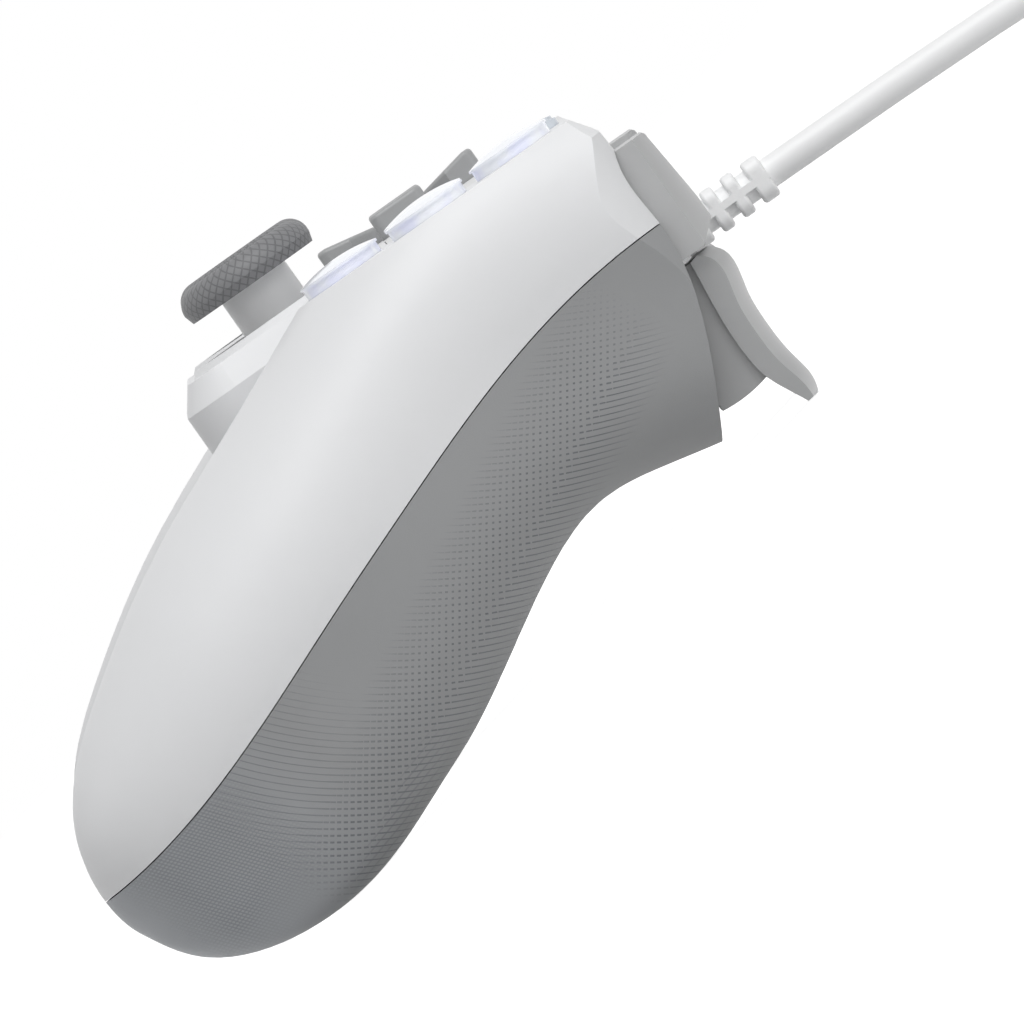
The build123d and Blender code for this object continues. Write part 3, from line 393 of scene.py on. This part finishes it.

# %% [markdown]
# The marks hold a shadow, so the engraving darkens the grey as well as lowering it. Towards the tail
# the grey is painted a little lighter and cooler: a painted sheen for the light that the close weave
# catches.

# %% Grey shell
grey_low, grey_high = (0.30, 0.305, 0.31), (0.33, 0.335, 0.34)
# Painted sheen: lighter and cooler towards the tail, where the close weave catches the light.
tail_sheen_shade = (0.38, 0.395, 0.415)
tail_sheen_turn = (36, 56)
mark_shade = (0.11, 0.12, 0.135)
mark_strength = 0.75
engraved_depth = 0.00006
grain_height = 2 * skin_height
grey_grain = grey.noise(scale=7000, detail=3.0, roughness=0.6)
grey_cloud = grey.noise(scale=50)
plain_grey = grey.blend(grey_cloud, grey_low, grey_high)
sheen_tail_grey = grey.blend(to_tail.ramp(*tail_sheen_turn) * on_grip, plain_grey, tail_sheen_shade)
marked_grey = grey.blend(engraving * mark_strength, sheen_tail_grey, mark_shade)
grey_height = grey_grain * grain_height - engraving * engraved_depth
grey_shell = grey.surface(marked_grey, roughness=0.5 + 0.1 * grey_cloud, height=grey_height)
dress(grey_shell, "lower_shell")

# %% [markdown]
# The keys, the bumpers and the triggers are satin grey. One finish could serve them all, but the
# bumpers are clearly lighter than the rest, so each kind has its own.

# %% Greys of the controls
key_shades = (0.35, 0.355, 0.36), (0.38, 0.385, 0.39)
bumper_shades = (0.44, 0.444, 0.448), (0.48, 0.484, 0.488)
trigger_shades = (0.36, 0.364, 0.368), (0.40, 0.404, 0.408)
control_grey = plastic("control_grey", key_shades, cloud_scale=90, roughness=0.4, skin_scale=9000)
bumper_grey = plastic("bumper_grey", bumper_shades, cloud_scale=60, roughness=0.38, skin_scale=9000)
trigger_grey = plastic("trigger_grey", trigger_shades, cloud_scale=60, roughness=0.38, skin_scale=9000)
dress(control_grey, "key_up", "key_down", "key_left", "key_right")
dress(bumper_grey, "bumper_right", "bumper_left")
dress(trigger_grey, "trigger_right", "trigger_left")

# %% [markdown]
# The caps are rubber with a knurled rim. Before its grooves can be drawn, a point needs an angle
# round the stick and a height on it. The left cap is the right one's mirror image, so the distance
# from the middle of the pad, without its sign, serves both.

# %% Where a point lies on a stick
rubber = Finish("cap_rubber")
stick_side = 0.025
stick_away = -0.0218
stick_place = on_deck(0, stick_away, 0)
cap_x = rubber.along((1, 0, 0)).math("ABSOLUTE") - stick_side
cap_y = rubber.along(deck_away, stick_place)
cap_z = rubber.along(deck_up, stick_place)
round_stick = cap_y.math("ARCTAN2", cap_x) / (2 * math.pi)
from_middle = (cap_x * cap_x + cap_y * cap_y).math("SQRT")
print("sticks stand", stick_side * millimetres, "mm beside the pad's middle")

# %% [markdown]
# Two sets of fine grooves wind round the rim both ways and cross. Cut as geometry they would leave
# hundreds of small diamonds, so they are relief in the finish, with painted shade in them where
# they are deep.

# %% Rubber caps
rubber_low, rubber_high = (0.195, 0.197, 0.204), (0.225, 0.227, 0.234)
# Painted shade: the grooves darken where they are deep.
painted_groove_shadow = (0.07, 0.072, 0.077)
groove_count = 44
groove_rise = 0.0013
groove_share = 0.2
groove_shadow_strength = 0.5
groove_depth = 0.00005
rim_start = (0.0062, 0.0066)
winding = (round_stick * groove_count + cap_z / groove_rise).stripes(1.0, groove_share)
against = (round_stick * groove_count - cap_z / groove_rise).stripes(1.0, groove_share)
knurl = winding.math("MAXIMUM", against) * from_middle.ramp(*rim_start)
rubber_shade = rubber.blend(rubber.noise(scale=300), rubber_low, rubber_high)
knurled = rubber.blend(knurl * groove_shadow_strength, rubber_shade, painted_groove_shadow)
cap_rubber = rubber.surface(knurled, roughness=0.55, height=knurl * -groove_depth)
dress(cap_rubber, "stick_cap_right", "stick_cap_left")

# %% [markdown]
# Each face button is a clear lens over a frosted core. Real glass would need many light paths to
# look as bright as clear plastic does in a light room, so the lens is mostly a pale gloss with a
# little clearness and a faint glow, which is painted light. Its side has patches of a cool tint, and
# its top has none.

# %% Clear lenses and their cores
names = ("north", "east", "south", "west")
lens = Finish("clear_lens")
lens_top, side_tint = (0.92, 0.94, 0.98), (0.83, 0.85, 1.0)
side_height, patch_edge = (0.0012, 0.0019), (0.42, 0.62)
lens_side = 1 - lens.along(deck_up, stick_place).ramp(*side_height)
patches = lens.noise(scale=260).ramp(*patch_edge)
lens_tint = lens.blend(patches * lens_side, lens_top, side_tint)
# The faint glow is painted light, in the lens's own tint.
clear_lens = lens.surface(lens_tint, roughness=0.12, IOR=1.49, Transmission_Weight=0.1,
                          Emission_Color=lens_tint, Emission_Strength=0.1)
dress(clear_lens, *[f"button_{name}_lens" for name in names])
core_shades = (0.66, 0.71, 0.76), (0.72, 0.76, 0.80)
frosted_core = plastic("frosted_core", core_shades, cloud_scale=400, roughness=0.5)
dress(frosted_core, *[f"button_{name}_core" for name in names])

# %% [markdown]
# The two pills and the home button are milky. Real milky plastic scatters light below its surface,
# which takes long to render, and on pieces this small a pale bluish shade with a gloss looks much
# the same. The touchpad is a fine matt white.

# %% Pills, home button and touchpad
pill_shades = (0.64, 0.69, 0.75), (0.70, 0.74, 0.79)
touch_shades = (0.70, 0.705, 0.71), (0.76, 0.765, 0.77)
milky_pill = plastic("milky_pill", pill_shades, cloud_scale=400, roughness=0.25)
dress(milky_pill, "options_pill", "share_pill", "home_button")
touch_surface = plastic("touch_surface", touch_shades, cloud_scale=3000, roughness=0.45)
dress(touch_surface, "touchpad")

# %% [markdown]
# The inner pieces show only through gaps, or when the shells are taken off. They could have chips
# and tracks, but plain shades are enough to tell them apart: the boards are green, and the stick
# frames, the rubber domes and the headset jack are black.

# %% Boards and black plastic
sides = ("right", "left")
board_shades = (0.02, 0.10, 0.05), (0.03, 0.13, 0.07)
black_shades = (0.02, 0.02, 0.022), (0.035, 0.035, 0.038)
green_board = plastic("green_board", board_shades, cloud_scale=500, roughness=0.35)
dress(green_board, "main_board", "button_board", "key_board")
dark_plastic = plastic("dark_plastic", black_shades, cloud_scale=400, roughness=0.45)
gimbal = [f"stick_{piece}_{side}" for piece in ("base", "yoke", "block") for side in sides]
dress(dark_plastic, "headset_jack", "button_domes", "key_domes", *gimbal)

# %% [markdown]
# The screws, the trigger pins, the motors with their weights and the plug's shell are plain steel.
# One fine noise turns both its shade and its gloss, as rolled steel has dull and bright grains.

# %% Steel
steel = Finish("plain_steel")
steel_low, steel_high = (0.52, 0.52, 0.53), (0.62, 0.62, 0.63)
steel_grain = steel.noise(scale=2500, detail=3.0)
steel_shade = steel.blend(steel_grain, steel_low, steel_high)
plain_steel = steel.surface(steel_shade, roughness=0.25 + 0.15 * steel_grain, Metallic=1.0)
steel_pieces = [f"{piece}_{side}" for piece in ("motor", "motor_weight", "trigger_pin") for side in sides]
dress(plain_steel, "case_screws", "plug_shell", *steel_pieces)

# %% [markdown]
# The cord's sleeve, its relief and the plug's grip are one soft white plastic. It could share the
# shell's white, but it looks brighter than the shell beside it.

# %% Cord finish
sleeve_shades = (0.90, 0.905, 0.91), (0.93, 0.933, 0.937)
cord_sleeve = plastic("cord_sleeve", sleeve_shades, cloud_scale=150, roughness=0.42, skin_scale=5000)
dress(cord_sleeve, "strain_relief", "plug_grip")

# %% [markdown]
# The cord follows the same way as its solids: out of the relief, down to the table, round the flat
# coil that stores the length nobody sees, and back to the plug. A round coil could be drawn with
# hundreds of points. Half circles whose centres step from side to side wind one with few: each half
# turn is a little tighter than the last, and the second layer lies on the first and winds out again.

# %% Cord route
cord_diameter = 0.004
straight_out = [(0, 0.05856, 0.02126), (0, 0.0953, 0.01326), (0, 0.131, 0.002), (0, 0.166, 0.002)]
to_plug = [(-0.070, 0.166, 0.0065), (-0.070, 0.154, 0.0065), (-0.070, 0.141, 0.00425),
           (-0.070, 0.130, 0.00425)]
coil_y = 0.170
coil_radius = 0.035
coil_pitch = 0.0045
half_turns = 10
marks_per_half_turn = 8


def coil_marks():
    """Control points round every half turn: inwards, one climb, and outwards again on top."""
    step = math.pi / marks_per_half_turn
    widen = 1 / math.cos(step / 2)
    inwards = [coil_radius - turn * coil_pitch / 2 for turn in range(half_turns)]
    climb = coil_radius - half_turns * coil_pitch / 2
    x, z, way = 0.0, cord_diameter / 2, 1
    for order, radius in enumerate([*inwards, climb, *reversed(inwards)]):
        rise = coil_pitch if order == half_turns else 0.0
        for mark in range(marks_per_half_turn):
            part = (mark + 0.5) / marks_per_half_turn
            yield (x - way * radius + way * radius * widen * math.cos(math.pi * part),
                   coil_y + way * radius * widen * math.sin(math.pi * part), z + rise * part)
        x, z, way = x - way * 2 * radius, z + rise, -way


route = [*straight_out, *coil_marks(), *to_plug]
print("cord of", len(route), "points")

# %% [markdown]
# A curve with a round bevel keeps the cord one smooth tube that still knows its length. It takes
# the place of the three plain solids.

# %% Lay the cord
curve = bpy.data.curves.new("cord_line", "CURVE")
curve.dimensions = "3D"
spline = curve.splines.new("NURBS")
spline.points.add(len(route) - 1)
for point, mark in zip(spline.points, route):
    point.co = (*mark, 1)
spline.order_u = 3
spline.use_endpoint_u = True
spline.resolution_u = 4
curve.bevel_depth = cord_diameter / 2
curve.bevel_resolution = 3
curve.use_fill_caps = True
cord = bpy.data.objects.new("cord_line", curve)
bpy.context.scene.collection.objects.link(cord)
curve.materials.append(cord_sleeve)
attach(cord, "housing")
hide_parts("cord", "cord_coil", "cord_tail")
print("cord laid in place of its plain solids")

# %% [markdown]
# The photograph is a cut-out on pure white. The floor is plain matt paint for the light that falls
# on it, so it keeps the pad's shadow, and it looks white only along the rays that are looked along.
# More lamps would whiten it too, but they would also wash out the pad.

# %% Floor
reach = 3.0
paint_colour = (0.70, 0.70, 0.70, 1)
white_light = (1, 1, 1, 1)
floor_glow = 0.93
floor_mesh = bpy.data.meshes.new("floor")
corners = [(-reach, -reach, 0), (reach, -reach, 0), (reach, reach, 0), (-reach, reach, 0)]
floor_mesh.from_pydata(corners, [], [(0, 1, 2, 3)])
floor = bpy.data.objects.new("floor", floor_mesh)
bpy.context.scene.collection.objects.link(floor)
ground = Finish("pale_floor")
paint = ground.node("BsdfDiffuse", {}, {"Color": paint_colour})
glow = ground.node("Emission", {}, {"Color": white_light, "Strength": ground.seen_rays() * floor_glow})
both = ground.node("AddShader", {}, {0: paint.outputs[0], 1: glow.outputs[0]})
ground.tree.links.new(both.outputs[0], ground.node("OutputMaterial").inputs["Surface"])
floor_mesh.materials.append(ground.material)
print("floor of", 2 * reach, "m")

# %% [markdown]
# The world is white to look at too, and gives a weak even light from all sides. Pale studio walls
# would do the same, but they would stand in the way of views from behind.

# %% World
world = bpy.data.worlds.new("studio")
bpy.context.scene.world = world
sky = Nodes(world)
wall_light = 0.28
strength = wall_light + (1 - wall_light) * sky.seen_rays()
backdrop = sky.node("Background", {}, {"Color": white_light, "Strength": strength})
sky.tree.links.new(backdrop.outputs[0], sky.node("OutputWorld").inputs["Surface"])
print("even light of", wall_light)

# %% [markdown]
# The highlights are broad and soft and come from above, so the main lamp is a large disk over the
# deck. It could be the only one, but the sides would turn dark, so three weak ones lift the side
# that faces the camera, the front with the cord, and the back of the grips. Powers are in watts,
# and places and sizes in metres.


# %% Lamps
def lamp(name, position, size, power):
    """A round lamp that faces the middle of the picture."""
    data = bpy.data.lights.new(name, "AREA")
    data.shape = "DISK"
    data.size = size
    data.energy = power
    light = bpy.data.objects.new(name, data)
    bpy.context.scene.collection.objects.link(light)
    light.location = position
    light.rotation_euler = (target - position).to_track_quat("-Z", "Y").to_euler()


lamp("overhead", on_deck(0.45, 0.10, 0.80), size=0.6, power=4.8)
lamp("camera_side", on_deck(1.0, 0.0, 0.45), size=0.8, power=0.8)
lamp("front_edge", on_deck(0.8, 0.8, 0.30), size=0.5, power=1.5)
lamp("back_edge", on_deck(-0.2, -0.9, 0.50), size=0.5, power=0.7)
print("4 lamps")

# %% [markdown]
# Last, the colours are shown as they are, with no film look.

# %% Finish
bpy.context.scene.view_settings.view_transform = "Standard"
